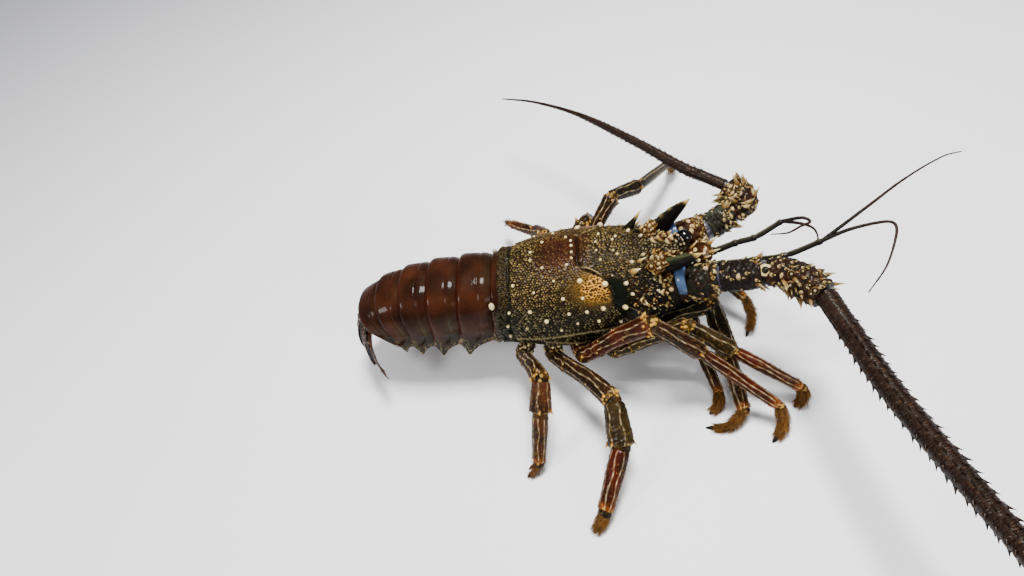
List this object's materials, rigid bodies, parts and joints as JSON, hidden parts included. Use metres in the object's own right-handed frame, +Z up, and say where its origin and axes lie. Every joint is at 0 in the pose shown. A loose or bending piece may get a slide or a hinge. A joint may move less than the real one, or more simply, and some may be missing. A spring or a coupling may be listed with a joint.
{
  "type": "spiny lobster",
  "caption": "Life-size still model of a spiny lobster, standing on its toes with its long spiny antennae spread.",
  "frame": {"origin": "centre of the bounding box, on the floor that the toes stand on", "axes": "+X towards the head, +Y to the animal's left, +Z up"},
  "size_m": [0.3886, 0.5834, 0.1194],
  "materials": {
    "shell": "dark green-brown horny shell with pale granules, satin to wet gloss",
    "tail": "smooth maroon-brown shell, wet gloss",
    "leg": "olive and red-brown shell with cream stripes, satin",
    "toe": "golden bristles over dark horn",
    "feeler": "dark brown ringed horn with pale bumps",
    "belly": "pale tan shell, satin",
    "eye": "black, polished"
  },
  "bodies": {
    "root": {"carapace": "shell", "sternum": "belly", "abdomen_1": "tail", "abdomen_2": "tail", "abdomen_3": "tail", "abdomen_4": "tail", "abdomen_5": "tail", "abdomen_6": "tail", "telson": "tail", "uropod_inner_right": "tail", "uropod_outer_right": "tail", "uropod_inner_left": "tail", "uropod_outer_left": "tail", "leg_right_1_upper": "leg", "leg_right_1_shank": "leg", "leg_right_1_dactyl": "toe", "leg_right_2_upper": "leg", "leg_right_2_shank": "leg", "leg_right_2_dactyl": "toe", "leg_right_3_upper": "leg", "leg_right_3_shank": "leg", "leg_right_3_dactyl": "toe", "leg_right_4_upper": "leg", "leg_right_4_shank": "leg", "leg_right_4_dactyl": "toe", "leg_right_5_upper": "leg", "leg_right_5_shank": "leg", "leg_right_5_dactyl": "toe", "leg_left_1_upper": "leg", "leg_left_1_shank": "leg", "leg_left_1_dactyl": "toe", "leg_left_2_upper": "leg", "leg_left_2_shank": "leg", "leg_left_2_dactyl": "toe", "leg_left_3_upper": "leg", "leg_left_3_shank": "leg", "leg_left_3_dactyl": "toe", "leg_left_4_upper": "leg", "leg_left_4_shank": "leg", "leg_left_4_dactyl": "toe", "leg_left_5_upper": "leg", "leg_left_5_shank": "leg", "leg_left_5_dactyl": "toe", "eye_right": "eye", "eye_left": "eye", "antennular_plate": "shell", "antenna_right_article_1": "shell", "antenna_right_article_2": "shell", "antenna_right_article_3": "shell", "antenna_right_flagellum_root": "feeler", "antenna_right_flagellum_tip": "feeler", "antenna_left_article_1": "shell", "antenna_left_article_2": "shell", "antenna_left_article_3": "shell", "antenna_left_flagellum_root": "feeler", "antenna_left_flagellum_tip": "feeler", "antennule_right": "feeler", "antennule_left": "feeler", "maxilliped_right": "leg", "maxilliped_left": "leg"}
  },
  "joints": []
}
